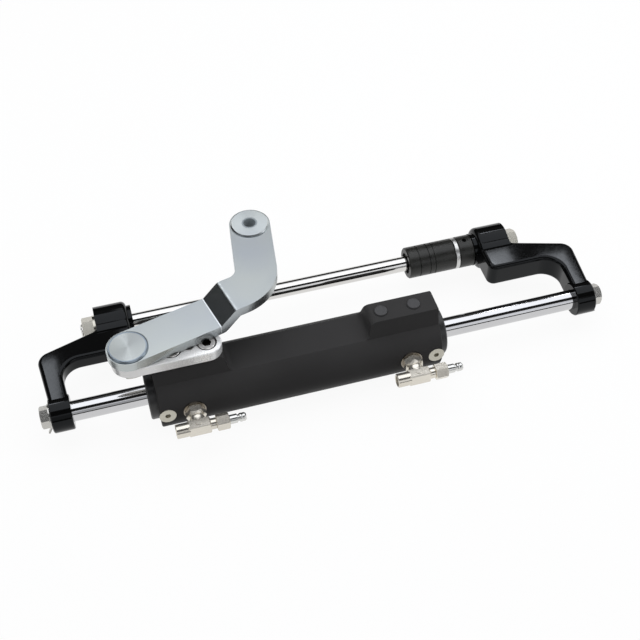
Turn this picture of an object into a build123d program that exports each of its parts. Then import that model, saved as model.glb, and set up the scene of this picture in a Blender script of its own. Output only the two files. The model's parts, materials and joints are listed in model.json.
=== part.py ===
"""Hydraulic steering cylinder for an outboard engine, in millimetres, +Z up.

The support rod lies on the X axis with its middle at the origin. Two cast arms stand out from it
towards -Y and hold the fixed piston rod. The cylinder body slides along that rod, and a link arm
on its pivot plate pulls the engine's tiller round.
"""
import os
from math import atan2, cos, radians, sin, sqrt, tan

from build123d import *

# Fits and clearances
running_gap = 0.05      # radial gap of a sliding or turning fit
thread_gap = 0.05       # radial gap between a screw and its tapped hole
hole_gap = 0.15         # radial gap of a plain hole round a fixed pin
face_gap = 0.3          # gap between faces that move past each other
overrun = 1.0           # how far a cut or a joined piece runs past a face

# Rods
rod_spacing = 95.0      # support rod axis to piston rod axis
support_rod_radius = 7.94
piston_rod_radius = 10.0
end_clearance = 6.45    # gland to lower boss at the end of the stroke
boss_length = 20.0      # lower boss, along the piston rod
boss_radius = 17.0
boss_web = 6.0          # wall that the rod end bolt clamps against
thread_length = 30.0    # tapped depth in each end of the piston rod
piston_rod_chamfer = 0.8
support_rod_chamfer = 1.2

# Cast arms
arm_top = 16.0          # height of the flat upper face above the rods
arm_depth = {"left": 17.0, "right": 27.0}
leg_width = 18.0
leg_lean = 3.5          # how far the inner side of the leg leans outwards
leg_flare = 6.5         # how far its outer side leans outwards
leg_front = 9.0         # flat face past the piston rod axis
bar_inner = 46.0        # inner side of the crossbar, from the support rod axis
bar_outer = 14.0        # outer side of the crossbar, at the upper boss
bar_slope = 16.8        # degrees, outer side of the crossbar
bar_root = 8.0          # how far the crossbar runs into the upper boss
bar_blend = 8.0         # concave corner between the crossbar's outer side and the end of the boss
boss_chamfer = 1.0
inner_bend = 18.0
outer_bend = 13.0
bar_end_round = 8.0
arm_edge = 4.0
collar_start = 180.5    # inner end of the upper boss, from the middle
collar_length = 4.0
collar_radius = 17.0
upper_boss_length = 32.5
upper_boss_radius = 22.0
upper_boss_edge = 5.0
boss_foot_round = 6.0   # corner under the foot of its blend, hidden in the crossbar
nut_seat_gap = 0.5      # radial gap of a support washer in its spot face
nut_seat_length = 14.0

# Rod end bolts, support nuts and washers
end_bolt_radius = 6.0
end_bolt_flats = 19.0
end_bolt_head = 8.0
end_bolt_grip = 22.0    # thread of the bolt inside the piston rod
hexagon_turned_share = 0.55     # height to width of the turned corners of a hexagon
tab_washer_radius = 12.0
tab_washer_thickness = 1.6
tab_width = 5.0
tab_length = 7.0
tab_root = 2.0          # how far each tongue starts inside the washer's edge
tab_bends = ((28.0, -35.0), (-32.0, -20.0))     # degrees: direction and bend of each tongue
nut_flats = 24.0
nut_height = 11.0
washer_radius = 14.0
washer_thickness = 2.5
rod_tip = 2.0           # support rod showing past each nut

# Length adjuster on the support rod
sleeve_length = 51.0
sleeve_radius = 16.4
sleeve_wall_end = 6.0
sleeve_recess = 2.0
sleeve_recess_radius = 11.0
sleeve_groove = 0.9     # depth of its grooves
sleeve_grooves = ((10.7, 1.4), (21.9, 0.8), (27.5, 0.8))    # place and width, from its inner end
sleeve_chamfer = 1.0
spigot_radius = 12.0
spigot_clearance = 3.0  # between the spigot and the end wall of the sleeve
ring_length = 4.2
ring_chamfer = 0.4
adjuster_radius = 16.6
adjuster_nut_length = 16.0
adjuster_nut_chamfer = 0.8
pin_hole_depth = 5.0    # blind hole on top of the nut, for a pin spanner
set_screw_radius = 2.5
set_screw_proud = 1.6
set_screw_socket = 2.5
set_screw_socket_depth = 2.5

# Cylinder body
stroke = 200.0
rest_offset = -36.0     # middle of the body from the middle of the rod, as drawn
body_radius = 33.5
bore_radius = 17.5
body_chamfer = 1.0
land_height = 46.5      # flat top of each raised end above the bore axis
land_half_width = 12.0
land_foot = 17.0        # half width where the land meets the barrel
pocket_margin = 16.5    # end of the pocket to the inner land hole
ramp_run = 4.0
ramp_bend = 6.0
hole_inset = 21.8       # outer land hole from the end of the body
hole_pitch = 33.0       # between the two land holes
land_screw_radius = 5.0
land_hole_depth = 18.0

# Piston
piston_length = 24.0
piston_relief = 5.0
piston_relief_radius = 15.5
piston_seal_width = 5.0
piston_ring_width = 4.0
piston_groove_radius = 14.0
piston_lip = 1.5        # wall between a groove and the relief beside it
ring_side_gap = 0.1     # gap at each side of a ring in its groove

# Glands, seals and their lock screws
gland_depth = 27.0      # length inside the body
gland_proud = 8.25
gland_seat_radius = 21.0
gland_collar_radius = 24.5
gland_chamfer = 1.2
gland_bore_gap = 0.4
oring_section = 1.0
oring_inset = 9.0
oring_groove_width = 2.6
bush_length = 12.0
bush_wall = 2.0
seal_step = 3.0         # wall between the rod bush and the rod seal
seal_width = 5.0
seal_wall = 4.0
wiper_width = 4.0
wiper_recess = 0.6      # face of the wiper inside the face of the gland
lock_screw_inset = 6.7  # from the end of the body
lock_screw_radius = 4.0
lock_head_radius = 8.0
lock_head_depth = 4.4
lock_head_rim = 0.5     # straight rim above the cone
lock_socket = 5.0
lock_socket_depth = 3.0
lock_tip = 3.0          # how far a lock screw reaches into its gland
lock_tip_gap = 0.2      # under the tip, in the dimple of the gland

# Ports and tee fittings
port_inset = 5.3        # port axis from the inner face of its gland
port_tilt = 5.0         # degrees above the horizontal
port_thread_radius = 6.5
port_thread_depth = 11.0
oil_radius = 3.0
spot_face_depth = 1.8   # below the crown of the body
seal_seat_gap = 0.4     # radial gap of the sealing washer in its spot face
stub_gap = 1.0          # under the end of the tee's threaded stub
port_seal_radius = 10.8
port_seal_thickness = 1.8
tee_hex_flats = 19.0
tee_hex_height = 6.5
tee_neck_radius = 6.8
tee_dome_radius = 7.8   # round shoulder of the neck
tee_dome_rise = 0.5     # centre of that shoulder above the hexagon
tee_pad_radius = 3.4    # round pad on each side of the run
tee_pad_height = 0.5
tee_axis = 22.5         # run axis from the spot face
tee_block = 14.5        # square section of the run
tee_block_half = 10.5
tee_block_chamfer = 2.9
tee_end_chamfer = 0.8
tee_port_end = 22.0
tee_port_radius = 7.2
tee_port_bore = 5.0
tee_port_depth = 12.0
tee_spigot_radius = 5.4
tee_spigot_end = 17.0
collar_flats = 15.0
collar_hex_length = 12.5
nipple_stem_radius = 3.0
nipple_neck_radius = 4.5
nipple_neck_length = 10.0
nipple_waist_radius = 3.1
nipple_waist_length = 1.6
nipple_bulb_length = 5.6
nipple_bulb_edge = 1.2
nipple_neck_chamfer = 0.5
nipple_bore_radius = 1.2
nipple_bore_start = 3.0

# Pivot plate and its screws
plate_thickness = 10.5
plate_end_radius = 14.0
pivot_end_radius = 18.0
pivot_reach = 38.0      # pivot beyond the outer land hole
pivot_back = 4.0        # pivot towards the support rod
plate_edge = 0.8
counterbore_radius = 9.75
counterbore_depth = 7.0
cap_head_radius = 8.0
cap_head_height = 6.5
cap_head_chamfer = 0.6
cap_socket = 8.0
cap_socket_depth = 4.0
cap_screw_length = 16.0
stud_radius = 4.0
stud_recess_radius = 5.4
stud_recess = 1.6
stud_inset = 0.6        # top of the set screw below the plate's face
stud_depth = 7.0        # set screw inside the body
stud_tip_gap = 1.0
stud_socket = 4.0
stud_socket_depth = 3.0
plug_head_radius = 6.5
plug_head_height = 1.8
plug_head_edge = 1.1
plug_depth = 8.0

# Link arm and pivot
shoulder_radius = 8.0
bush_radius = 10.0
thrust_washer_radius = 16.0
thrust_washer_thickness = 1.0
pivot_head_flats = 22.0
pivot_head_height = 7.0
pivot_thread_radius = 6.0
pivot_thread_length = 7.0
link_width = 40.0
link_thickness = 10.0
link_angle = 13.7       # degrees, first straight from the X axis
link_first = 133.7      # pivot to the elbow corner
link_second = 80.0      # elbow corner to the tiller hole
link_turn = 68.6        # degrees between the two straights
link_bend = 30.0
joggle_start = 85.0
joggle_run = 16.0
joggle_rise = 14.0
joggle_bend = 7.0
disc_radius = 18.8
disc_height = 1.6
disc_bevel = 1.2
disc_groove_width = 0.7         # groove round the foot of each disc
disc_groove_depth = 0.5
tiller_radius = 6.0
tiller_bush_wall = 1.5

gland_inner = stroke / 2 + piston_length / 2 + face_gap
body_half = gland_inner + gland_depth
gland_outer = body_half + gland_proud
port_from_middle = gland_inner - port_inset
boss_inner = gland_outer + stroke / 2 + end_clearance
boss_outer = boss_inner + boss_length
upper_boss_start = collar_start + collar_length
upper_boss_end = upper_boss_start + upper_boss_length
support_rod_half = upper_boss_end + washer_thickness + nut_height + rod_tip
piston_rod_half = boss_outer - boss_web
plate_top = land_height + plate_thickness
seal_seat = body_radius - spot_face_depth
outer_hole = body_half - hole_inset
inner_hole = outer_hole - hole_pitch
pocket_half_length = inner_hole - pocket_margin
pivot_x = -(outer_hole + pivot_reach)
seal_start = gland_inner + bush_length + seal_step
wiper_start = gland_outer - wiper_width - wiper_recess
oring_start = gland_inner + oring_inset - oring_groove_width / 2
link_bottom = plate_top + face_gap + thrust_washer_thickness
link_top = link_bottom + link_thickness
adjuster_nut_end = collar_start - face_gap
adjuster_nut_start = adjuster_nut_end - adjuster_nut_length
ring_start = adjuster_nut_start - face_gap - ring_length
sleeve_start = ring_start - sleeve_length
stud_x = -(inner_hole + outer_hole) / 2
adjuster_nut_middle = (adjuster_nut_start + adjuster_nut_end) / 2
piston_land = piston_length / 2 - piston_relief
joggle_lift = link_thickness * tan(atan2(joggle_rise, joggle_run) / 2)
tiller_x = link_first + link_second * cos(radians(link_turn))
tiller_y = link_second * sin(radians(link_turn))
side_signs = {"left": -1, "right": 1}

piston_axis = Pos(0, -rod_spacing, 0)
body_frame = Pos(rest_offset, -rod_spacing, 0)
to_x = Rot(0, 90, 0)


def disc(radius, start, end):
    """A cylinder on the local Z axis between two heights."""
    return Pos(0, 0, start) * Cylinder(radius, end - start, align=(Align.CENTER, Align.CENTER, Align.MIN))


def tube(outer, inner, start, end):
    """A ring on the local Z axis between two heights."""
    return disc(outer, start, end) - disc(inner, start - overrun, end + overrun)


def rod_x(radius, start, end):
    """A cylinder on the X axis."""
    return to_x * disc(radius, start, end)


def tube_x(outer, inner, start, end):
    """A ring on the X axis."""
    return to_x * tube(outer, inner, start, end)


def hexagon(flats, start, end, chamfered=True):
    """A hexagonal prism on the local Z axis, with its top corners turned down."""
    prism = Pos(0, 0, start) * extrude(RegularPolygon(flats / 2, 6, major_radius=False), end - start)
    if not chamfered:
        return prism
    corner = flats / sqrt(3)
    excess = corner - flats / 2
    turned = disc(corner, start, end)
    turned = chamfer(turned.edges().group_by(Axis.Z)[-1], excess * hexagon_turned_share, excess)
    return prism & turned


def socket(flats, top, depth):
    """The space of a hexagonal socket that opens upwards."""
    return hexagon(flats, top - depth, top + overrun, chamfered=False)


def arm(side):
    """One cast arm: a leg at the piston rod, a crossbar and the upper boss on the support rod."""
    leg_back = -bar_inner
    leg_front_y = -rod_spacing - leg_front
    outer_run = boss_inner + leg_width + leg_flare - upper_boss_end
    corner_y = -bar_outer - outer_run * tan(radians(bar_slope))
    outline = Polyline(
        (boss_inner, leg_front_y),
        (boss_inner + leg_lean, leg_back),
        (upper_boss_start, leg_back),
        (upper_boss_start, -bar_outer + bar_root),
        (upper_boss_end, -bar_outer + bar_root),
        (upper_boss_end, -bar_outer),
        (upper_boss_end + outer_run, corner_y),
        (boss_inner + leg_width, leg_front_y),
        close=True,
    )
    plan = make_face(outline)
    corners = plan.vertices()
    plan = fillet(corners.sort_by_distance((boss_inner + leg_lean, leg_back))[0], inner_bend)
    plan = fillet(plan.vertices().sort_by_distance((upper_boss_end + outer_run, corner_y))[0], outer_bend)
    plan = fillet(plan.vertices().sort_by_distance((upper_boss_start, leg_back))[0], bar_end_round)
    plan = fillet(plan.vertices().sort_by_distance((upper_boss_end, -bar_outer))[0], bar_blend)
    depth = arm_depth[side]
    slab = Pos(0, 0, arm_top - depth) * extrude(plan, depth)
    rims = slab.edges().group_by(Axis.Z)
    slab = fillet(rims[0] + rims[-1], arm_edge)

    lower = piston_axis * rod_x(boss_radius, boss_inner, boss_outer)
    lower = chamfer(lower.edges().filter_by(GeomType.CIRCLE), boss_chamfer)
    casting = slab + upper_boss() + lower + rod_x(collar_radius, collar_start, upper_boss_start)

    casting -= rod_x(washer_radius + nut_seat_gap, upper_boss_end, upper_boss_end + nut_seat_length)
    casting -= rod_x(support_rod_radius + hole_gap, collar_start - overrun, upper_boss_end + overrun)
    casting -= piston_axis * rod_x(piston_rod_radius + hole_gap, boss_inner - overrun, piston_rod_half)
    bolt_hole = rod_x(end_bolt_radius + hole_gap, piston_rod_half - overrun, boss_outer + overrun)
    casting -= piston_axis * bolt_hole
    return casting if side == "right" else mirror(casting, Plane.YZ)


def upper_boss():
    """Round boss on the support rod, with a concave blend down to the top of the crossbar."""
    blend = arm_top**2 / (2 * (upper_boss_radius - arm_top))    # its foot lies above the side of the boss
    share = upper_boss_radius / (upper_boss_radius + blend)
    foot = (-upper_boss_radius, arm_top)
    touch = (-upper_boss_radius * share, (arm_top + blend) * share)
    sides = Polyline(touch, (touch[0], 0), (-upper_boss_radius, 0), foot)
    filling = make_face([RadiusArc(foot, touch, blend), *sides.edges()])
    section = Circle(upper_boss_radius) + filling
    section = fillet(section.vertices().sort_by_distance(foot)[0], boss_foot_round)
    boss = extrude(Plane.YZ * section, upper_boss_length, dir=(1, 0, 0))
    boss = fillet(boss.edges().group_by(Axis.X)[0], upper_boss_edge)
    return Pos(upper_boss_start, 0, 0) * boss


def rod_end_bolt():
    """Hexagon bolt in the end of the piston rod, on the local Z axis with its seat at zero."""
    shank = disc(end_bolt_radius, -tab_washer_thickness - boss_web - end_bolt_grip, 0)
    return shank + hexagon(end_bolt_flats, 0, end_bolt_head)


def tab_washer():
    """Washer with two bent tongues that lock the rod end bolt."""
    ring = tube(tab_washer_radius, end_bolt_radius + hole_gap, -tab_washer_thickness, 0)
    tongue = Box(tab_length, tab_width, tab_washer_thickness, align=(Align.MIN, Align.CENTER, Align.MAX))
    for angle, bend in tab_bends:
        ring += Rot(0, 0, angle) * Pos(tab_washer_radius - tab_root, 0, 0) * Rot(0, bend, 0) * tongue
    return ring


def support_rod():
    """Chromed rod that passes through the engine's tilt tube."""
    rod = rod_x(support_rod_radius, -support_rod_half, support_rod_half)
    return chamfer(rod.edges().filter_by(GeomType.CIRCLE), support_rod_chamfer)


def support_nut():
    """Hexagon nut on the local Z axis, seated at zero."""
    thread = disc(support_rod_radius + thread_gap, -overrun, nut_height + overrun)
    return hexagon(nut_flats, 0, nut_height) - thread


def support_washer():
    """Flat washer under a support nut, its top at zero."""
    return tube(washer_radius, support_rod_radius + hole_gap, -washer_thickness, 0)


def adjuster_sleeve():
    """Grooved sleeve that screws along its spigot to take up the length of the tilt tube."""
    end = sleeve_start + sleeve_length
    sleeve = rod_x(sleeve_radius, sleeve_start, end)
    sleeve = chamfer(sleeve.edges().filter_by(GeomType.CIRCLE), sleeve_chamfer)
    for place, width in sleeve_grooves:
        start = sleeve_start + place
        sleeve -= tube_x(sleeve_radius + overrun, sleeve_radius - sleeve_groove, start, start + width)
    sleeve -= rod_x(spigot_radius + running_gap, sleeve_start + sleeve_wall_end, end + overrun)
    sleeve -= rod_x(support_rod_radius + face_gap, sleeve_start - overrun, end)
    return sleeve - rod_x(sleeve_recess_radius, sleeve_start - overrun, sleeve_start + sleeve_recess)


def adjuster_ring():
    """Bright thrust ring between the sleeve and the adjuster nut."""
    ring = rod_x(adjuster_radius, ring_start, ring_start + ring_length)
    ring = chamfer(ring.edges().filter_by(GeomType.CIRCLE), ring_chamfer)
    return ring - rod_x(spigot_radius + face_gap, ring_start - overrun, ring_start + ring_length + overrun)


def adjuster_nut():
    """Round nut with the externally threaded spigot that the sleeve screws on."""
    nut = rod_x(adjuster_radius, adjuster_nut_start, adjuster_nut_end)
    nut = chamfer(nut.edges().filter_by(GeomType.CIRCLE), adjuster_nut_chamfer)
    spigot_start = sleeve_start + sleeve_wall_end + spigot_clearance
    nut += rod_x(spigot_radius, spigot_start, adjuster_nut_start + overrun)
    nut -= rod_x(support_rod_radius + hole_gap, spigot_start - overrun, adjuster_nut_end + overrun)
    tapped = disc(set_screw_radius + thread_gap, 0, adjuster_radius + overrun)
    pin_hole = disc(set_screw_radius, adjuster_radius - pin_hole_depth, adjuster_radius + overrun)
    return nut - Pos(adjuster_nut_middle, 0, 0) * (Rot(180, 0, 0) * tapped + pin_hole)


def adjuster_set_screw():
    """Small screw from below that locks the adjuster nut on the rod."""
    tip = support_rod_radius + hole_gap
    top = adjuster_radius + set_screw_proud
    screw = disc(set_screw_radius, tip, top) - socket(set_screw_socket, top, set_screw_socket_depth)
    return Pos(adjuster_nut_middle, 0, 0) * Rot(180, 0, 0) * screw


def piston_rod():
    """Chromed rod, tapped at both ends for the rod end bolts."""
    rod = rod_x(piston_rod_radius, -piston_rod_half, piston_rod_half)
    rod = chamfer(rod.edges().filter_by(GeomType.CIRCLE), piston_rod_chamfer)
    start = piston_rod_half - thread_length
    tapped = disc(end_bolt_radius + thread_gap, start, piston_rod_half + overrun)
    for sign in side_signs.values():
        rod -= Rot(0, 90 * sign, 0) * tapped
    return rod


def piston():
    """Piston at the middle of the rod, with grooves for its seal and its guide ring."""
    half = piston_length / 2
    radius = bore_radius - 2 * running_gap
    turned = rod_x(piston_relief_radius, -half, half) + rod_x(radius, -piston_land, piston_land)
    seal_side = -piston_land + piston_lip
    ring_side = piston_land - piston_lip
    turned -= tube_x(radius + overrun, piston_groove_radius, seal_side, seal_side + piston_seal_width)
    turned -= tube_x(radius + overrun, piston_groove_radius, ring_side - piston_ring_width, ring_side)
    return turned - rod_x(piston_rod_radius + running_gap, -half - overrun, half + overrun)


def piston_packing(groove_start, groove_width):
    """A ring that fills a groove of the piston and runs on the bore."""
    start = groove_start + ring_side_gap
    end = groove_start + groove_width - ring_side_gap
    return tube_x(bore_radius - running_gap, piston_groove_radius + running_gap, start, end)


def land_block():
    """The raised back of the body, along its whole length."""
    foot = sqrt(body_radius**2 - land_foot**2)
    outline = Polyline(
        (-land_foot, foot), (-land_half_width, land_height), (land_half_width, land_height),
        (land_foot, foot), (land_foot, 0), (-land_foot, 0), close=True,
    )
    section = Plane.YZ * make_face(outline)
    return Pos(-body_half, 0, 0) * extrude(section, 2 * body_half, dir=(1, 0, 0))


def pocket_space():
    """The low flat between the two raised ends, with an S-shaped ramp at each end."""
    floor = sqrt(body_radius**2 - land_foot**2)
    ramp_top = pocket_half_length + ramp_run
    shelf_end = ramp_top + 2 * ramp_bend
    above = land_height + ramp_bend
    outline = Polyline(
        (-pocket_half_length, floor), (pocket_half_length, floor), (ramp_top, land_height),
        (shelf_end, land_height), (shelf_end, above), (-shelf_end, above),
        (-shelf_end, land_height), (-ramp_top, land_height), close=True,
    )
    face = make_face(outline)
    bends = face.vertices().filter_by_position(Axis.X, -ramp_top - overrun, ramp_top + overrun)
    bends = bends.filter_by_position(Axis.Y, floor - overrun, land_height + overrun)
    face = fillet(bends, ramp_bend)
    reach = body_radius + overrun
    return Pos(0, reach, 0) * extrude(Plane.XZ * face, 2 * reach, dir=(0, -1, 0))


def port_frame(x):
    """A frame on the body at a port or lock screw: local Z points out, local X runs along the body."""
    return Pos(x, 0, 0) * Rot(90 - port_tilt, 0, 0)


def lock_frame(sign):
    """A frame on the body at the lock screw of one gland."""
    return port_frame(sign * (body_half - lock_screw_inset))


def barrel():
    """The cylinder body: bore, gland seats, ports, tapped land holes and lock screw holes."""
    body = rod_x(body_radius, -body_half, body_half) + land_block()
    ends = body.edges().group_by(Axis.X)
    body = chamfer(ends[0] + ends[-1], body_chamfer)
    body -= pocket_space()
    body -= rod_x(bore_radius, -gland_inner - overrun, gland_inner + overrun)
    gland_seat = disc(gland_seat_radius + running_gap, gland_inner, body_half + overrun)
    land_floor = land_height - land_hole_depth
    land_hole = disc(land_screw_radius + thread_gap, land_floor, land_height + overrun)
    spot_face = disc(port_seal_radius + seal_seat_gap, seal_seat, body_radius + overrun)
    port_floor = seal_seat - port_thread_depth
    port_thread = disc(port_thread_radius + thread_gap, port_floor, seal_seat + overrun)
    port_space = spot_face + port_thread + disc(oil_radius, bore_radius - overrun, seal_seat)
    lock_hole = disc(lock_screw_radius + thread_gap, gland_seat_radius - overrun, body_radius)
    for sign in side_signs.values():
        body -= Rot(0, 90 * sign, 0) * gland_seat
        for x in (inner_hole, outer_hole):
            body -= Pos(sign * x, 0, 0) * land_hole
        body -= port_frame(sign * port_from_middle) * port_space
        body -= lock_frame(sign) * (lock_hole + lock_head(hole_gap / 2))
    stud_floor = land_height - stud_depth - stud_tip_gap
    return body - Pos(stud_x, 0, 0) * disc(stud_radius + thread_gap, stud_floor, land_height + overrun)


def lock_head(gap):
    """Countersunk head of a lock screw, flush with a small spot face."""
    top = sqrt(body_radius**2 - lock_head_radius**2)
    cone = Cone(lock_screw_radius + gap, lock_head_radius + gap, lock_head_depth,
                align=(Align.CENTER, Align.CENTER, Align.MAX))
    head = Pos(0, 0, top) * cone
    if gap:
        head += disc(lock_head_radius + gap, top, body_radius + overrun)
    return head


def gland_screw(sign):
    """Countersunk screw whose tip locks one gland."""
    cone_top = sqrt(body_radius**2 - lock_head_radius**2)
    top = cone_top + lock_head_rim
    screw = lock_head(0) + disc(lock_screw_radius, gland_seat_radius - lock_tip, cone_top - overrun)
    screw += disc(lock_head_radius, cone_top, top)
    return lock_frame(sign) * (screw - socket(lock_socket, top, lock_socket_depth))


def gland(sign):
    """Gland screwed into one end of the body, with a dimple for its lock screw."""
    collar = disc(gland_collar_radius, body_half, gland_outer)
    collar = chamfer(collar.edges().group_by(Axis.Z)[-1], gland_chamfer)
    part = disc(gland_seat_radius, gland_inner, body_half + overrun) + collar
    part -= disc(piston_rod_radius + gland_bore_gap, gland_inner - overrun, gland_outer + overrun)
    bush_seat = piston_rod_radius + bush_wall + running_gap
    part -= disc(bush_seat, gland_inner - overrun, gland_inner + bush_length)
    part -= disc(piston_rod_radius + seal_wall, seal_start, seal_start + seal_width)
    part -= disc(piston_rod_radius + seal_wall, wiper_start, gland_outer + overrun)
    groove = gland_seat_radius - 2 * oring_section - running_gap
    part -= tube(gland_seat_radius + overrun, groove, oring_start, oring_start + oring_groove_width)
    dimple_floor = gland_seat_radius - lock_tip - lock_tip_gap
    dimple = disc(lock_screw_radius + thread_gap, dimple_floor, gland_seat_radius + overrun)
    return Rot(0, 90 * sign, 0) * part - lock_frame(sign) * dimple


def gland_packing():
    """The four rings of a gland: rod bush, rod seal, wiper and outer ring."""
    inner = piston_rod_radius + running_gap
    bush = tube(piston_rod_radius + bush_wall, inner, gland_inner, gland_inner + bush_length)
    outer = piston_rod_radius + seal_wall - running_gap
    seal = tube(outer, inner, seal_start + ring_side_gap, seal_start + seal_width - ring_side_gap)
    wiper = tube(outer, inner, wiper_start + ring_side_gap, wiper_start + wiper_width)
    centre = gland_seat_radius - oring_section - running_gap / 2
    ring = Pos(0, 0, gland_inner + oring_inset) * Torus(centre, oring_section)
    return {"rod_bush": bush, "rod_seal": seal, "rod_wiper": wiper, "gland_oring": ring}


def land_plug(x):
    """Domed plug in an unused land hole."""
    head = disc(plug_head_radius, land_height, land_height + plug_head_height)
    head = fillet(head.edges().group_by(Axis.Z)[-1], plug_head_edge)
    return Pos(x, 0, 0) * (head + disc(land_screw_radius, land_height - plug_depth, land_height))


def port_seal(x):
    """Bonded sealing washer between a tee and its spot face."""
    ring = tube(port_seal_radius, port_thread_radius + hole_gap, seal_seat, seal_seat + port_seal_thickness)
    return port_frame(x) * ring


def tee(x):
    """Tee fitting: threaded stub, hexagon, neck, square run, open port and a spigot for the bleeder."""
    seat = seal_seat + port_seal_thickness
    hex_top = seat + tee_hex_height
    axis = seal_seat + tee_axis
    turned = disc(port_thread_radius, seal_seat - port_thread_depth + stub_gap, seat + overrun)
    turned += hexagon(tee_hex_flats, seat, hex_top)
    turned += disc(tee_neck_radius, hex_top - overrun, axis)
    turned += Pos(0, 0, hex_top + tee_dome_rise) * Sphere(tee_dome_radius)
    block = Box(2 * tee_block_half, tee_block, tee_block)
    block = chamfer(block.edges().filter_by(Axis.X), tee_block_chamfer)
    run = block + rod_x(tee_port_radius, -tee_port_end, overrun - tee_block_half)
    run += rod_x(tee_spigot_radius, tee_block_half - overrun, tee_spigot_end)
    run = chamfer(run.edges().group_by(Axis.X)[0], tee_end_chamfer)
    pad_face = tee_block / 2 + tee_pad_height
    run += Rot(90, 0, 0) * disc(tee_pad_radius, -pad_face, pad_face)
    run -= rod_x(tee_port_bore, -tee_port_end - overrun, -tee_port_end + tee_port_depth)
    run -= rod_x(oil_radius, -tee_port_end, tee_spigot_end + overrun)
    whole = turned + Pos(0, 0, axis) * run
    whole -= disc(oil_radius, seal_seat - port_thread_depth - overrun, axis)
    return port_frame(x) * whole


def bleeder_frame(x):
    """A frame at a tee with local Z along its run, towards +X."""
    return port_frame(x) * Pos(0, 0, seal_seat + tee_axis) * to_x


def bleeder_collar(x):
    """Hexagon collar on the spigot of a tee, with the bleed nipple's thread."""
    start = tee_spigot_end
    end = start + collar_hex_length
    collar = hexagon(collar_flats, start, end)
    thread = disc(nipple_stem_radius + running_gap, start - overrun, end + overrun)
    return bleeder_frame(x) * (collar - thread)


def bleed_nipple(x):
    """Bleed nipple: stem in the collar, round neck, waist and bulb end."""
    start = tee_spigot_end + collar_hex_length + face_gap
    waist = start + nipple_neck_length
    bulb = waist + nipple_waist_length
    end = bulb + nipple_bulb_length
    head = disc(nipple_neck_radius, bulb, end)
    head = fillet(head.edges().filter_by(GeomType.CIRCLE), nipple_bulb_edge)
    neck = disc(nipple_neck_radius, start, waist)
    neck = chamfer(neck.edges().filter_by(GeomType.CIRCLE), nipple_neck_chamfer)
    part = head + neck + disc(nipple_waist_radius, waist - overrun, bulb + overrun)
    part += disc(nipple_stem_radius, tee_spigot_end + overrun, start + overrun)
    return bleeder_frame(x) * (part - disc(nipple_bore_radius, start + nipple_bore_start, end + overrun))


def pivot_plate():
    """Polished plate on the left land that carries the pivot."""
    wide = Pos(pivot_x, pivot_back) * Circle(pivot_end_radius)
    narrow = Pos(-inner_hole, 0) * Circle(plate_end_radius)
    outline = make_hull(wide.edges() + narrow.edges())
    plate = Pos(0, 0, land_height) * extrude(outline, plate_thickness)
    plate = chamfer(plate.edges().group_by(Axis.Z)[-1], plate_edge)
    below = land_height - overrun
    above = plate_top + overrun
    screw_space = disc(counterbore_radius, plate_top - counterbore_depth, above)
    screw_space += disc(land_screw_radius + hole_gap, below, plate_top)
    for x in (inner_hole, outer_hole):
        plate -= Pos(-x, 0, 0) * screw_space
    stud_space = disc(stud_recess_radius, plate_top - stud_recess, above)
    plate -= Pos(stud_x, 0, 0) * (stud_space + disc(stud_radius + thread_gap, below, plate_top))
    return plate - Pos(pivot_x, pivot_back, 0) * disc(bush_radius + running_gap, below, above)


def plate_screw(x):
    """Low socket head screw in a counterbore of the plate."""
    seat = plate_top - counterbore_depth
    head = disc(cap_head_radius, seat, seat + cap_head_height)
    head = chamfer(head.edges().group_by(Axis.Z)[-1], cap_head_chamfer)
    screw = head + disc(land_screw_radius, seat - cap_screw_length, seat + overrun)
    return Pos(x, 0, 0) * (screw - socket(cap_socket, seat + cap_head_height, cap_socket_depth))


def plate_stud():
    """Locating set screw between the two plate screws."""
    top = plate_top - stud_inset
    stud = disc(stud_radius, land_height - stud_depth, top)
    return Pos(stud_x, 0, 0) * (stud - socket(stud_socket, top, stud_socket_depth))


def pivot_bush():
    """Plain bearing bush pressed into the plate."""
    ring = tube(bush_radius, shoulder_radius + running_gap, land_height, plate_top)
    return Pos(pivot_x, pivot_back, 0) * ring


def pivot_bolt():
    """Shoulder bolt from below: it turns in the bush and is screwed into the link arm."""
    seat = land_height - face_gap - washer_thickness
    bolt = disc(shoulder_radius, seat, link_bottom)
    bolt += disc(pivot_thread_radius, link_bottom - overrun, link_bottom + pivot_thread_length)
    bolt += Pos(0, 0, seat) * Rot(180, 0, 0) * hexagon(pivot_head_flats, 0, pivot_head_height)
    return Pos(pivot_x, pivot_back, 0) * bolt


def pivot_ring(outer, start, thickness):
    """A washer round the pivot bolt."""
    return Pos(pivot_x, pivot_back, 0) * tube(outer, shoulder_radius + hole_gap, start, start + thickness)


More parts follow.
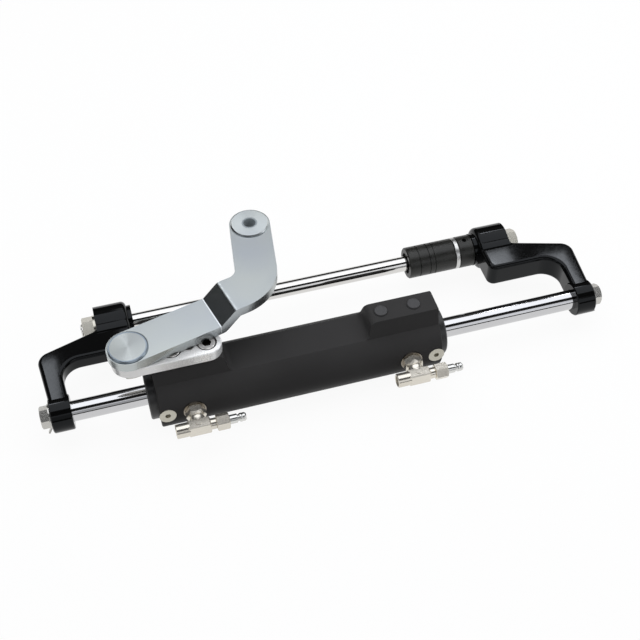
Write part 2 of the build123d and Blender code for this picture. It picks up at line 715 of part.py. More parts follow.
def link_arm():
    """Joggled link arm, drawn with its pivot at the local origin and its first straight along X."""
    path = FilletPolyline((0, 0), (link_first, 0), (tiller_x, tiller_y), radius=link_bend)
    half = link_width / 2
    top = link_top + joggle_rise
    end = disc(half, 0, top + overrun)
    blank = extrude(trace(path, link_width), top + overrun) + end + Pos(tiller_x, tiller_y, 0) * end

    ramp_end = joggle_start + joggle_run
    near_x = -half - overrun
    far_x = link_first + link_second + half
    side = Polyline(
        (near_x, link_bottom), (joggle_start + joggle_lift, link_bottom),
        (ramp_end + joggle_lift, link_bottom + joggle_rise), (far_x, link_bottom + joggle_rise),
        (far_x, top), (ramp_end, top), (joggle_start, link_top), (near_x, link_top),
        close=True,
    )
    profile = make_face(side)
    for crest in ((ramp_end, top), (joggle_start + joggle_lift, link_bottom)):
        profile = fillet(profile.vertices().sort_by_distance(crest)[0], joggle_bend)
    reach = link_second + link_width
    slab = Pos(0, reach, 0) * extrude(Plane.XZ * profile, 2 * reach, dir=(0, -1, 0))
    link = blank & slab

    for x, y, face in ((0, 0, link_top), (tiller_x, tiller_y, top)):
        raised = disc(disc_radius, face - overrun, face + disc_height)
        raised = chamfer(raised.edges().group_by(Axis.Z)[-1], disc_bevel)
        link += Pos(x, y, 0) * raised
        link -= Pos(x, y, 0) * tube(disc_radius + disc_groove_width, disc_radius,
                                    face - disc_groove_depth, face + overrun)
    tapped_end = link_bottom + pivot_thread_length
    link -= disc(pivot_thread_radius + thread_gap, link_bottom - overrun, tapped_end)
    hole_radius = tiller_radius + tiller_bush_wall + running_gap
    link -= Pos(tiller_x, tiller_y, 0) * disc(hole_radius, 0, top + disc_height + overrun)
    return Pos(pivot_x, pivot_back, 0) * Rot(0, 0, link_angle) * link


def tiller_bush():
    """Plain bush in the far end of the link arm."""
    start = link_bottom + joggle_rise
    end = start + link_thickness + disc_height
    ring = Pos(tiller_x, tiller_y, 0) * tube(tiller_radius + tiller_bush_wall, tiller_radius, start, end)
    return Pos(pivot_x, pivot_back, 0) * Rot(0, 0, link_angle) * ring


def frame_parts():
    """Pieces that stay with the engine: arms, both rods, piston and fasteners."""
    parts = {"piston_rod": piston_axis * piston_rod(), "piston": piston_axis * piston()}
    seal_side = -piston_land + piston_lip
    ring_side = piston_land - piston_lip - piston_ring_width
    parts["piston_seal"] = piston_axis * piston_packing(seal_side, piston_seal_width)
    parts["piston_guide_ring"] = piston_axis * piston_packing(ring_side, piston_ring_width)
    parts["support_rod"] = support_rod()
    parts["adjuster_nut"] = adjuster_nut()
    parts["adjuster_set_screw"] = adjuster_set_screw()
    for side, sign in side_signs.items():
        outward = Rot(0, 90 * sign, 0)
        bolt_seat = piston_axis * outward * Pos(0, 0, boss_outer + tab_washer_thickness)
        nut_seat = outward * Pos(0, 0, upper_boss_end + washer_thickness)
        parts[f"arm_{side}"] = arm(side)
        parts[f"rod_end_bolt_{side}"] = bolt_seat * rod_end_bolt()
        parts[f"tab_washer_{side}"] = bolt_seat * Rot(0, 0, 90 - 90 * sign) * tab_washer()
        parts[f"support_nut_{side}"] = nut_seat * support_nut()
        parts[f"support_washer_{side}"] = nut_seat * support_washer()
    return parts


def cylinder_parts():
    """Pieces that slide with the cylinder body, at their rest place."""
    parts = {"barrel": barrel(), "pivot_plate": pivot_plate(), "plate_stud": plate_stud()}
    parts["pivot_bush"] = pivot_bush()
    for name, x in (("inner", inner_hole), ("outer", outer_hole)):
        parts[f"plate_screw_{name}"] = plate_screw(-x)
        parts[f"land_plug_{name}"] = land_plug(x)
    for side, sign in side_signs.items():
        outward = Rot(0, 90 * sign, 0)
        x = sign * port_from_middle
        parts[f"gland_{side}"] = gland(sign)
        for name, ring in gland_packing().items():
            parts[f"{name}_{side}"] = outward * ring
        parts[f"gland_screw_{side}"] = gland_screw(sign)
        parts[f"port_seal_{side}"] = port_seal(x)
        parts[f"tee_{side}"] = tee(x)
        parts[f"bleeder_collar_{side}"] = bleeder_collar(x)
        parts[f"bleed_nipple_{side}"] = bleed_nipple(x)
    return parts


def link_parts():
    """Pieces that swing with the link arm, about the pivot on the cylinder body."""
    washer_start = land_height - face_gap - washer_thickness
    thrust_start = plate_top + face_gap
    return {
        "link_arm": link_arm(),
        "tiller_bush": tiller_bush(),
        "pivot_bolt": pivot_bolt(),
        "pivot_thrust_washer": pivot_ring(thrust_washer_radius, thrust_start, thrust_washer_thickness),
        "pivot_washer": pivot_ring(washer_radius, washer_start, washer_thickness),
    }


def main():
    os.makedirs("parts", exist_ok=True)
    parts = frame_parts()
    parts["adjuster_sleeve"] = adjuster_sleeve()
    parts["adjuster_ring"] = adjuster_ring()
    for name, shape in {**cylinder_parts(), **link_parts()}.items():
        parts[name] = body_frame * shape
    for name, shape in parts.items():
        export_step(shape, f"parts/{name}.step")


main()
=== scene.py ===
"""Finishes, small details, studio and camera for the hydraulic steering cylinder, in metres."""

import json
from math import cos, pi, radians, sin, tan

import bmesh
import bpy
from mathutils import Matrix, Vector


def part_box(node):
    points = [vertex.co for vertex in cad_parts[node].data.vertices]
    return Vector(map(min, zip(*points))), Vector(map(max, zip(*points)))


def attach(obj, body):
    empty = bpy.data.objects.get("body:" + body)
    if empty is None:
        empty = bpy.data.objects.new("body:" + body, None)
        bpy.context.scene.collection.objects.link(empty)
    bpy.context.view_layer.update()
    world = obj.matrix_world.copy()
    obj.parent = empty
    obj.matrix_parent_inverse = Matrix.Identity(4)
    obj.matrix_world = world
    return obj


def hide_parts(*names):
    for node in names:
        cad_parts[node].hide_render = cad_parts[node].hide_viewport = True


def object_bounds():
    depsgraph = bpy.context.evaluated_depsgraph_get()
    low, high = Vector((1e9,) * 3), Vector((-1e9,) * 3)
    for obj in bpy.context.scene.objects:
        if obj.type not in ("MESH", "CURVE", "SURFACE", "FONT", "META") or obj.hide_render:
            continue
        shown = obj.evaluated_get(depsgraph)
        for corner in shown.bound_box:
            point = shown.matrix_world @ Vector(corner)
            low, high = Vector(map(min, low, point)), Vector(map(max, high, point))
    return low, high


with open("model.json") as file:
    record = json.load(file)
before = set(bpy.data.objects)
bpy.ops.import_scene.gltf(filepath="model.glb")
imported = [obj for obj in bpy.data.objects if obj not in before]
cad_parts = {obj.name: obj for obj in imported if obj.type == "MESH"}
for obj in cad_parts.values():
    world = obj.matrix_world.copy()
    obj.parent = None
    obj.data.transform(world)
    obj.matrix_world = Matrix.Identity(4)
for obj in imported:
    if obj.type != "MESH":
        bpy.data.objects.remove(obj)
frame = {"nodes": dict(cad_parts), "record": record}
cad_low, cad_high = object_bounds()
nodes = frame["nodes"]
subparts = frame["record"]["subparts"]
mounts = {mount["name"]: mount for mount in frame["record"]["mounts"]}
MM = 0.001
WHITE = (1, 1, 1, 1)
RIGHT_ANGLE = radians(90)

# Camera, as fitted to the photograph
CAMERA_PLACE = Vector((-0.1915, -0.7478, 0.8371))
CAMERA_AZIMUTH = 15.397     # degrees, viewing direction turned from +Y towards +X
CAMERA_ELEVATION = 49.18    # degrees, viewing direction turned down
CAMERA_ROLL = -0.556        # degrees
CAMERA_LENS = 61.875        # millimetres, on a sensor of the width below
CAMERA_SENSOR = 36

# Sockets of Blender's mix node, by the kind of thing it mixes: two inputs and the output
MIX_SOCKETS = {"VECTOR": (4, 5, 1), "RGBA": (6, 7, 2)}

# Finishes
OWN_FINISHES = {            # for pieces that look different from their slot, by how their names start
    "gland_screw": "lock_screw_dull",
    "port_seal": "seal_ring_dark",
    "plate_screw": "cap_screw_bright",
}
SCREW_RIM = 0.6 * MM        # depth below the plate screws' tops where shade is painted into their sockets as a dark colour
# dark colour painted into the plate screws' sockets, standing in for their shade
SOCKET_SHADE_COLOUR = (0.03, 0.025, 0.02, 1)
NOISE_SPAN = (0.3, 0.7)     # where nearly all values of a noise lie
FINE_DETAIL = 3.0
SPECKLE = 0.2               # how far fine grain changes the roughness, as a share of it
SPECKLE_LIMIT = 0.03
GLOSS_DRIFT = 0.1           # the same for slow changes
LATHE_GRAIN = 2500.0
LATHE_DEPTH = 0.004
LATHE_TONE = 0.04
LATHE_STRETCH = {"X": (1, 0.02, 0.02), "Z": (0.02, 0.02, 1)}

# Link arm's finish, with painted light on its discs and along its fold
DISC_PAINTED_LIGHT = {"pivot_bolt": 0.95, "tiller_bush": 1.45}     # the piece at each disc's axis, and the brightness painted onto that disc for the light it catches
DISC_RADIUS = 18.8 * MM
DISC_RIM = 2.4 * MM         # width of the pivot disc's rim, where a darker reflection is painted
# painted reflection on the pivot disc's rim, darker and bluer than the disc
DISC_RIM_PAINTED_REFLECTION = (0.34, 0.39, 0.44, 1)
DISC_RING_SCALE = 2600.0
DISC_RING_DEPTH = 0.0015 * MM
FOLD_PLACE = 84.4 * MM      # distance from the pivot, along the arm's first straight, of the fold where a highlight is painted
FOLD_ANGLE = radians(13.7)  # heading of that straight
FOLD_HALF = 0.5 * MM        # half of the width of the highlight painted on the fold
# colour of the highlight painted along the fold
FOLD_HIGHLIGHT_COLOUR = (0.86, 0.88, 0.88, 1)
BRUSH_SCALE = 1100.0
BRUSH_STRETCH = 0.03        # size of the brush lines across the arm over their size along it
BRUSH_DEPTH = 0.0001 * MM
LINK_CLOUD = 16.0
LINK_TONES = ((0.97, 0.98, 0.96, 1), (0.86, 0.88, 0.93, 1))
LINK_ROUGHNESS = (0.25, 0.27)
LINK_ANISOTROPY = 0.85

# Threads in the open ports, which the solids leave plain
THREAD_STEPS = 40           # steps in a turn
THREAD_FADE = 30            # steps over which the ridge rises from nothing
THREAD_SINK = 0.1 * MM      # how far the ridge starts inside its wall
THREAD_PROFILE = ((0.0, 0), (0.4, 1), (0.5, 1), (0.9, 0))   # share of the pitch, share of the rise
PORT_BORE = 5.0 * MM
PORT_PITCH = 1.1 * MM
PORT_TURNS = 8.5
PORT_RIDGE = 0.35 * MM
PORT_THREAD_INSET = 0.8 * MM

# Tees, collars and bleed nipples, with the turned chamfers and grooves that the solids lack.
# All are in millimetres, and the profiles are rows of a height and a radius. The stub, the hexagon and
# the neck of a tee are measured from the run's axis towards the body, the pads from the run's axis to
# either side, and the rest from the stub's axis along the run.
TURN_STEPS = 72             # steps round an axis
SMOOTH_ANGLE = radians(24)  # edges with a smaller angle are shaded smooth
HEX_STEP = radians(60)      # angle between the corners of a hexagon
CHAMFER_SLOPE = tan(radians(30))
CHAMFER_ROWS = 4
HEX_FOOT = 20.7
HEX_TOP = 12.4
HEX_FLATS = 17.0
HEX_FACE = 8.1              # radius of the flat face at each end of the hexagon
STUB = ((31.0, 6.5), (HEX_FOOT, 6.5))
NECK = ((11.3, 6.9), (10.9, 6.9), (10.3, 7.1), (9.2, 7.1), (7.8, 6.8), (6.6, 6.5), (3.0, 6.5))
RUN_HALF = 10.8
RUN_DEPTH = 5.5
RUN_HEIGHT = 6.2
RUN_EDGE = 0.9
PAD = ((5.0, 3.0), (6.5, 3.0), (6.7, 2.8))
PORT_END = ((-9.0, 6.8), (-21.4, 6.8), (-22.0, 6.2), (-22.0, 5.5), (-21.5, 5.0), (-10.0, 5.0))
SPIGOT = ((9.0, 5.3), (15.6, 5.3), (16.0, 4.9), (16.0, 3.0), (9.0, 3.0))
COLLAR_START = 16.0
COLLAR_END = 28.2
COLLAR_FLATS = 14.0
COLLAR_FACE = 6.8
COLLAR_BORE = ((COLLAR_END, 3.05), (COLLAR_START, 3.05))
NIPPLE = (
    (12.0, 0.6), (12.0, 2.9), (28.4, 2.9), (28.4, 4.0), (28.8, 4.4), (35.6, 4.4), (36.2, 3.2), (37.2, 3.2),
    (38.2, 4.1), (39.6, 4.3), (40.4, 3.9), (41.2, 4.2), (43.0, 4.0), (44.2, 3.0), (44.2, 0.6),
)
HEX_TURNS = {               # turn of the tee's hexagon and of the collar, on each side
    "left": (HEX_STEP / 2, 0),
    "right": (0, HEX_STEP / 2),
}

# Studio
FLOOR_SIZE = 8.0
FLOOR_WHITE = (0.95, 0.95, 0.95, 1)
FLOOR_BOUNCE = (0.15, 0.15, 0.15, 1)    # colour that the floor has for light that it throws back
FLOOR_GLOW = 0.93           # share of the floor's white that no shadow takes away
WORLD_LIGHT = 0.34          # what the surroundings give to matt surfaces
WORLD_ABOVE = 0.07          # brightness that gloss sees high above the horizon
HORIZON = (0.02, 0.35)      # heights between which that brightness fades, 1 being straight up
CARD_BLACK = (0.01, 0.01, 0.01, 1)
LAMP_COLOUR = (0.97, 0.99, 1.03)
LIT_MIDDLE = (0, -0.06, 0)
PANEL_HEIGHT = 1.2
PANELS = {                  # lamps overhead: X from and to, Y from and to, brightness
    "panel_main": (-1.05, 1.55, -0.38, 0.8, 1.5),
    "panel_left_leg": (-0.5, -0.36, 0.8, 0.98, 7.0),
    "panel_link": (-0.2, 0.2, 0.8, 1.3, 1.12),
    "panel_link_far": (0.2, 0.6, 0.8, 1.3, 0.85),
    "panel_right_root": (0.69, 0.74, 0.93, 0.98, 19.0),
    "panel_right_halo": (0.69, 0.79, 0.93, 1.02, 8.0),
    "panel_right_leg": (0.855, 0.925, 0.82, 0.97, 8.0),
    "panel_chamfer": (-0.5, 1.0, -1.6, -1.26, 0.8),
}
SOFTBOXES = {               # lamps round the part: place, width, height, brightness
    "softbox_front_left": ((-0.75, -2.35, 1.2), 2.1, 1.0, 0.4),
    "softbox_front_right": ((1.15, -2.35, 1.2), 1.7, 1.0, 0.9),
    "softbox_left": ((-1.6, -0.7, 0.9), 0.8, 0.7, 0.6),
    "softbox_right": ((1.7, -0.6, 0.7), 0.9, 0.8, 1.6),
}
CARDS = {                   # dark cards: place, what the card faces, width, height
    "card_above": ((0, -0.88, 1.35), (0, -0.88, 0), 4.0, 0.7),
    "card_front": ((0, -2.5, 0.4), (0, 0, 0.4), 6.0, 0.36),
    "card_back": ((0, 2.6, 0.75), (0, 0, 0.75), 6.0, 1.4),
    "card_left": ((-1.9, 1.0, 0.75), LIT_MIDDLE, 1.4, 1.2),
}


def node_middle(name):
    """The middle of a CAD node at rest."""
    low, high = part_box(name)
    return (low + high) / 2


def linked(name, data):
    """A new object in the scene."""
    item = bpy.data.objects.new(name, data)
    bpy.context.scene.collection.objects.link(item)
    return item


def placed(origin, *axes):
    """The matrix that puts an object at an origin, with its local X, Y and Z along three axes."""
    return Matrix.Translation(origin) @ Matrix(axes).transposed().to_4x4()


def make_camera():
    """A camera at the photograph's place, direction, roll and lens."""
    azimuth, elevation, roll = map(radians, (CAMERA_AZIMUTH, CAMERA_ELEVATION, CAMERA_ROLL))
    forward = Vector((sin(azimuth) * cos(elevation), cos(azimuth) * cos(elevation), -sin(elevation)))
    right = Vector((cos(azimuth), -sin(azimuth), 0))
    up = right.cross(forward)
    rolled_right = right * cos(roll) + up * sin(roll)
    rolled_up = up * cos(roll) - right * sin(roll)
    data = bpy.data.cameras.new("camera")
    data.lens = CAMERA_LENS
    data.sensor_width = CAMERA_SENSOR
    camera = linked("camera", data)
    camera.matrix_world = placed(CAMERA_PLACE, rolled_right, rolled_up, -forward)
    bpy.context.scene.camera = camera


class Nodes:
    """Short calls for building a node tree."""

    def __init__(self, tree):
        self.tree = tree

    def add(self, kind, *inputs, **settings):
        """A new node. Each input is a value or another node's output, set in order, None left alone."""
        node = self.tree.nodes.new(kind)
        for key, value in settings.items():
            setattr(node, key, value)
        for socket, value in zip(node.inputs, inputs):
            self.put(socket, value)
        return node

    def put(self, socket, value):
        """Links a node's output to a socket, or sets the socket to a value."""
        if isinstance(value, bpy.types.NodeSocket):
            self.tree.links.new(value, socket)
        elif value is not None:
            socket.default_value = value

    def math(self, operation, *inputs):
        """A number worked out from numbers."""
        return self.add("ShaderNodeMath", *inputs, operation=operation).outputs[0]

    def vector(self, operation, *inputs):
        """A vector worked out from vectors, or a number for a length or a dot product."""
        node = self.add("ShaderNodeVectorMath", *inputs, operation=operation)
        return node.outputs["Value" if operation in ("LENGTH", "DOT_PRODUCT") else "Vector"]

    def object_place(self):
        """The shaded point in the object's own axes."""
        return self.add("ShaderNodeTexCoord").outputs["Object"]

    def noise(self, place, scale, detail=2.0, stretch=(1, 1, 1)):
        """Noise with features about 1/scale metres wide, longer where stretch is small."""
        node = self.add("ShaderNodeTexNoise")
        self.put(node.inputs["Vector"], self.vector("MULTIPLY", place, stretch))
        self.put(node.inputs["Scale"], scale)
        self.put(node.inputs["Detail"], detail)
        return node.outputs["Fac"]

    def map_range(self, value, span, ends, **settings):
        """A number that goes from one end to the other as value goes over a span."""
        node = self.add("ShaderNodeMapRange", value, **settings)
        for key, number in zip(("From Min", "From Max", "To Min", "To Max"), (*span, *ends)):
            node.inputs[key].default_value = number
        return node.outputs["Result"]

    def between(self, noise, low, high):
        """A number that goes from low to high with a noise."""
        return self.map_range(noise, NOISE_SPAN, (low, high))

    def blend(self, kind, factor, first, second, **settings):
        """A mix of two colours or vectors, first where the factor is 0 and second where it is 1."""
        node = self.add("ShaderNodeMix", factor, data_type=kind, **settings)
        first_input, second_input, output = MIX_SOCKETS[kind]
        self.put(node.inputs[first_input], first)
        self.put(node.inputs[second_input], second)
        return node.outputs[output]

    def bump(self, height, distance, normal=None):
        """A normal tilted by a relief, over another normal where one is given."""
        node = self.add("ShaderNodeBump")
        self.put(node.inputs["Distance"], distance)
        self.put(node.inputs["Height"], height)
        self.put(node.inputs["Normal"], normal)
        return node.outputs["Normal"]

    def ray_kinds(self):
        """Whether a ray comes from the camera, and whether it comes from gloss or glass."""
        path = self.add("ShaderNodeLightPath").outputs
        mirrored = self.math("MAXIMUM", path["Is Glossy Ray"], path["Is Transmission Ray"])
        return path["Is Camera Ray"], mirrored


def new_material(name):
    """A material with a plain Principled shader, as (material, node calls, shader)."""
    material = bpy.data.materials.new(name)
    material.use_nodes = True
    tree = material.node_tree
    return material, Nodes(tree), tree.nodes["Principled BSDF"]


def shade(colour, factor):
    """A colour made brighter or darker."""
    return tuple(min(1.0, channel * factor) for channel in colour) + (1.0,)


def surface(name, colour, roughness, metallic=0.0, specular=0.5, tint=(1, 1, 1), tone=0.1, cloud=14.0,
            grain=900.0, depth=0.02, stretch=(1, 1, 1), painted_shade_below=None):
    """A finish with fine grain in its relief and gloss, and a slow change of tone over it.

    The tone changes by the share given, over features about 1/cloud metres wide. The grain's features
    are about 1/grain metres wide, longer where stretch is small, and depth millimetres deep. Below the
    height painted_shade_below, where one is given, shade is painted in as a dark colour.
    """
    material, calls, shader = new_material(name)
    place = calls.object_place()
    fine = calls.noise(place, grain, FINE_DETAIL, stretch)
    slow = calls.noise(place, cloud)
    drift = calls.between(slow, 0.0, 1.0)
    tones = calls.blend("RGBA", drift, shade(colour, 1 - tone), shade(colour, 1 + tone))
    # painted shade: below the given height the colour turns dark
    if painted_shade_below is not None:
        height = calls.add("ShaderNodeSeparateXYZ", place).outputs["Z"]
        tones = calls.blend("RGBA", calls.math("LESS_THAN", height, painted_shade_below), tones, SOCKET_SHADE_COLOUR)
    speckle = min(SPECKLE_LIMIT, roughness * SPECKLE)
    fine_gloss = calls.between(fine, -speckle, speckle)
    slow_gloss = calls.between(slow, roughness * (1 - GLOSS_DRIFT), roughness * (1 + GLOSS_DRIFT))
    calls.put(shader.inputs["Base Color"], tones)
    calls.put(shader.inputs["Roughness"], calls.math("ADD", fine_gloss, slow_gloss))
    shader.inputs["Metallic"].default_value = metallic
    shader.inputs["Specular IOR Level"].default_value = specular
    shader.inputs["Specular Tint"].default_value = (*tint, 1)
    calls.put(shader.inputs["Normal"], calls.bump(fine, depth * MM))
    return material


def turned(name, colour, roughness, axis="X"):
    """Metal with the fine rings of a lathe or grinder, which run round the given axis."""
    return surface(name, colour, roughness, metallic=1.0, tone=LATHE_TONE, grain=LATHE_GRAIN,
                   depth=LATHE_DEPTH, stretch=LATHE_STRETCH[axis])


def disc_field(calls, place, axis_piece):
    """Distance from the axis of a disc, whether the place is on the disc, and the way round the axis."""
    centre = node_middle(axis_piece)
    offset = calls.vector("SUBTRACT", place, (centre.x, centre.y, 0))
    flat = calls.vector("MULTIPLY", offset, (1, 1, 0))
    radius = calls.vector("LENGTH", flat)
    on_disc = calls.math("LESS_THAN", radius, DISC_RADIUS)
    around = calls.vector("NORMALIZE", calls.vector("CROSS_PRODUCT", (0, 0, 1), flat))
    return radius, on_disc, around


def disc_rings(calls, radius):
    """Relief of the fine rings that a lathe leaves."""
    node = calls.add("ShaderNodeTexNoise", noise_dimensions="1D")
    calls.put(node.inputs["W"], radius)
    calls.put(node.inputs["Scale"], DISC_RING_SCALE)
    return node.outputs["Fac"]


def fold_highlight(calls, place):
    """Whether a place is on the line where the link arm's first straight ends, where a highlight is
    painted.
    """
    pivot = node_middle("pivot_bolt")
    straight = Vector((cos(FOLD_ANGLE), sin(FOLD_ANGLE), 0))
    along = calls.vector("DOT_PRODUCT", place, tuple(straight))
    from_pivot = calls.math("SUBTRACT", along, straight.dot(pivot))
    return calls.math("COMPARE", from_pivot, FOLD_PLACE, FOLD_HALF)


def brush_lines(calls, place, heading):
    """Noise drawn out along a heading."""
    along = calls.vector("DOT_PRODUCT", place, (heading.x, heading.y, 0))
    across = calls.vector("DOT_PRODUCT", place, (-heading.y, heading.x, 0))
    short = calls.math("MULTIPLY", along, BRUSH_STRETCH)
    lines = calls.add("ShaderNodeCombineXYZ", short, across, 0.0).outputs[0]
    return calls.noise(lines, BRUSH_SCALE)


def satin_link(name, colour):
    """Satin metal, brushed in rings on the two raised discs and along the arm elsewhere. Light is painted
    on: each disc's own brightness, a darker reflection on the pivot disc's rim and a highlight along the
    fold.
    """
    material, calls, shader = new_material(name)
    place = calls.object_place()
    heading = (node_middle("tiller_bush") - node_middle("pivot_bolt")).normalized()
    tangent = tuple(heading)
    finish = (*colour, 1)
    reliefs = []
    for piece, brightness in DISC_PAINTED_LIGHT.items():
        radius, on_disc, around = disc_field(calls, place, piece)
        tangent = calls.blend("VECTOR", on_disc, tangent, around)
        # painted light: each disc gets its own brightness for the light it catches
        finish = calls.blend("RGBA", on_disc, finish, shade(colour, brightness))
        if piece == "pivot_bolt":
            # painted reflection: the pivot disc's rim turns darker and bluer
            on_rim = calls.math("COMPARE", radius, DISC_RADIUS - DISC_RIM / 2, DISC_RIM / 2)
            finish = calls.blend("RGBA", on_rim, finish, DISC_RIM_PAINTED_REFLECTION)
        reliefs.append(calls.math("MULTIPLY", disc_rings(calls, radius), on_disc))
    # painted highlight along the fold
    finish = calls.blend("RGBA", fold_highlight(calls, place), finish, FOLD_HIGHLIGHT_COLOUR)
    slow = calls.noise(place, LINK_CLOUD)
    tones = calls.blend("RGBA", calls.between(slow, 0.0, 1.0), *LINK_TONES)
    brushed = brush_lines(calls, place, heading)
    relief = calls.bump(calls.math("ADD", *reliefs), DISC_RING_DEPTH, calls.bump(brushed, BRUSH_DEPTH))
    calls.put(shader.inputs["Base Color"], calls.blend("RGBA", 1.0, finish, tones, blend_type="MULTIPLY"))
    calls.put(shader.inputs["Roughness"], calls.between(brushed, *LINK_ROUGHNESS))
    shader.inputs["Metallic"].default_value = 1.0
    shader.inputs["Anisotropic"].default_value = LINK_ANISOTROPY
    calls.put(shader.inputs["Tangent"], tangent)
    calls.put(shader.inputs["Normal"], relief)
    return material


def make_finishes():
    """The part's materials by name: one for each slot of the record, and more for single pieces."""
    # height below which shade is painted into the plate screws' sockets
    socket_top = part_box("plate_screw_inner")[1].z - SCREW_RIM
    made = [
        surface("arm_gloss_black", (0.003, 0.003, 0.003), 0.055, specular=0.2, tint=(0.9, 0.95, 1.0),
                tone=0.15, grain=260.0, depth=0.003),
        surface("body_matte_black", (0.04, 0.039, 0.039), 0.44, specular=0.05, tone=0.08, grain=3200.0,
                depth=0.012),
        surface("gland_black", (0.022, 0.022, 0.023), 0.34, grain=2600.0, depth=0.008,
                stretch=(1, 0.05, 0.05)),
        surface("adjuster_black", (0.013, 0.013, 0.011), 0.36, specular=0.45, tone=0.4, cloud=90.0,
                grain=2600.0, depth=0.014),
        surface("plug_black", (0.04, 0.04, 0.042), 0.4, grain=1800.0, depth=0.01),
        turned("rod_chrome", (0.6, 0.6, 0.61), 0.07),
        turned("support_chrome", (0.7, 0.69, 0.67), 0.08),
        surface("fastener_steel", (0.56, 0.55, 0.52), 0.26, metallic=0.9, grain=1500.0, depth=0.005),
        surface("screw_stainless", (0.85, 0.83, 0.81), 0.24, metallic=0.5, grain=1800.0, depth=0.003),
        surface("fitting_satin", (0.78, 0.74, 0.66), 0.23, metallic=0.85, grain=1500.0, depth=0.001),
        surface("seal_ring_dark", (0.3, 0.27, 0.23), 0.2, metallic=0.95, grain=1500.0, depth=0.002),
        surface("cap_screw_bright", (0.9, 0.88, 0.86), 0.2, metallic=0.6, grain=1800.0, depth=0.003,
                painted_shade_below=socket_top),
        surface("lock_screw_dull", (0.55, 0.53, 0.46), 0.34, metallic=0.8, grain=1800.0, depth=0.004),
        surface("nut_plated", (0.54, 0.52, 0.46), 0.22, metallic=1.0, grain=1500.0, depth=0.01),
        turned("ring_bright", (0.66, 0.66, 0.65), 0.34),
        surface("fitting_nickel", (0.74, 0.7, 0.62), 0.19, metallic=0.9, grain=1300.0, depth=0.006),
        turned("nipple_nickel", (0.7, 0.7, 0.68), 0.2),
        satin_link("link_satin", (0.51, 0.535, 0.535)),
        surface("plate_polished", (0.97, 0.96, 0.95), 0.26, metallic=0.35, tone=0.05, grain=1600.0,
                depth=0.002),
        turned("piston_aluminium", (0.6, 0.6, 0.6), 0.3),
        turned("bush_bronze", (0.55, 0.4, 0.2), 0.3, axis="Z"),
        surface("bush_dark", (0.28, 0.32, 0.34), 0.5, grain=1500.0),
        surface("guide_plastic", (0.7, 0.69, 0.66), 0.5, grain=1500.0),
        surface("seal_rubber", (0.02, 0.02, 0.02), 0.55, grain=1500.0),
    ]
    # Blender adds a number to a name that the solids' own materials have already
    return {material.name.split(".")[0]: material for material in made}


def dress_nodes(finishes):
    """Gives each CAD node the finish of its slot, or its own."""
    for part in subparts:
        mesh = nodes[part["node"]].data
        own = [finish for start, finish in OWN_FINISHES.items() if part["node"].startswith(start)]
        finish = own[0] if own else part["material_slot"]
        for index in range(len(mesh.materials)):
            mesh.materials[index] = finishes[finish]


def join_rings(build, rings, finish=0):
    """Fills the bands between neighbouring rings of corners."""
    for first, second in zip(rings, rings[1:]):
        for index in range(len(first)):
            face = build.faces.new((first[index], first[index - 1], second[index - 1], second[index]))
            face.material_index = finish


def close_ends(build, rings, finish=0):
    """Closes the first and the last ring with a face."""
    for ring in (rings[0], rings[-1]):
        build.faces.new(ring).material_index = finish


def object_from(build, name, *finishes):
    """Turns a finished build into an object."""
    bmesh.ops.recalc_face_normals(build, faces=build.faces)
    mesh = bpy.data.meshes.new(name)
    build.to_mesh(mesh)
    build.free()
    for finish in finishes:
        mesh.materials.append(finish)
    return linked(name, mesh)


def thread_ridge(name, finish):
    """A port's thread ridge round the local Z axis from the local origin, with ends that fade out."""
    steps = int(PORT_TURNS * THREAD_STEPS)
    foot = PORT_BORE + THREAD_SINK
    build = bmesh.new()
    rings = []
    for index in range(steps + 1):
        turns = index / THREAD_STEPS
        angle = 2 * pi * turns
        fade = min(1.0, index / THREAD_FADE, (steps - index) / THREAD_FADE)
        crest = PORT_BORE - PORT_RIDGE * fade
        ring = []
        for share, rise in THREAD_PROFILE:
            reach = foot + (crest - foot) * rise
            height = PORT_PITCH * (turns + share)
            ring.append(build.verts.new((reach * cos(angle), reach * sin(angle), height)))
        rings.append(ring)
    join_rings(build, rings)
    close_ends(build, rings)
    return object_from(build, name, finish)


def make_threads(finishes):
    """Threads inside the two open ports, which the solids leave plain."""
    for side in ("left", "right"):
        start = Vector(mounts[f"hose_port_{side}"]["pos_m"])
        start.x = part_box(f"tee_{side}")[0].x + PORT_THREAD_INSET
        ridge = thread_ridge(f"port_thread_{side}", finishes["fitting_nickel"])
        ridge.matrix_world = Matrix.Translation(start) @ Matrix.Rotation(RIGHT_ANGLE, 4, "Y")
        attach(ridge, "cylinder")


def add_turned(build, place, rows, finish=0, hollow=False):
    """Adds a closed shell round the local Z axis.

    A row is a height and a radius, where the radius may be a function of the angle.
    """
    rings = []
    for height, radius in rows:
        ring = []
        for index in range(TURN_STEPS):
            angle = 2 * pi * index / TURN_STEPS
            reach = radius(angle) if callable(radius) else radius
            corner = Vector((reach * cos(angle), reach * sin(angle), height))
            ring.append(build.verts.new(place @ (corner * MM)))
        rings.append(ring)
    if hollow:
        join_rings(build, rings + [rings[0]], finish)
    else:
        join_rings(build, rings, finish)
        close_ends(build, rings, finish)


def hex_cut(apothem, turn, limit):
    """The radius of a hexagon as a function of the angle, nowhere larger than a limit."""
    def radius(angle):
        from_flat = (angle - turn + HEX_STEP / 2) % HEX_STEP - HEX_STEP / 2
        return min(limit, apothem / cos(from_flat))

    return radius


